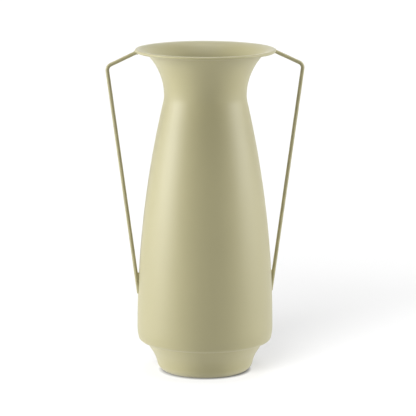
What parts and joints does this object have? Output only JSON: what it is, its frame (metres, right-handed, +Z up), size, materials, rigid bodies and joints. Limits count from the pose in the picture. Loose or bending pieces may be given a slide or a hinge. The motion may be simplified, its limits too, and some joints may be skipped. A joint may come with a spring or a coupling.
{
  "type": "urn vase",
  "caption": "Tall urn vase of powder-coated sheet: flared neck, narrow waist, tapered body on a narrow foot, and slim bent-bar handles welded from rim to body.",
  "frame": {"origin": "centre of the flat base, on the surface that the vase stands on", "axes": "+Z up along the turning axis, X through both handles, Y across them"},
  "size_m": [0.2686, 0.189, 0.44],
  "materials": {
    "coated_sheet": "fine matt powder coat, pale sage green",
    "coated_bar": "fine matt powder coat, pale sage green",
    "coated_weld": "fine matt powder coat over weld metal, pale sage green"
  },
  "bodies": {
    "root": {"neck_flare": "coated_sheet", "body_shell": "coated_sheet", "foot_pan": "coated_sheet", "rim_ring": "coated_bar", "handle_left": "coated_bar", "handle_right": "coated_bar", "rim_weld": "coated_weld", "waist_weld": "coated_weld", "foot_weld": "coated_weld", "upper_weld_left": "coated_weld", "upper_weld_right": "coated_weld", "lower_weld_left": "coated_weld", "lower_weld_right": "coated_weld"}
  },
  "joints": []
}
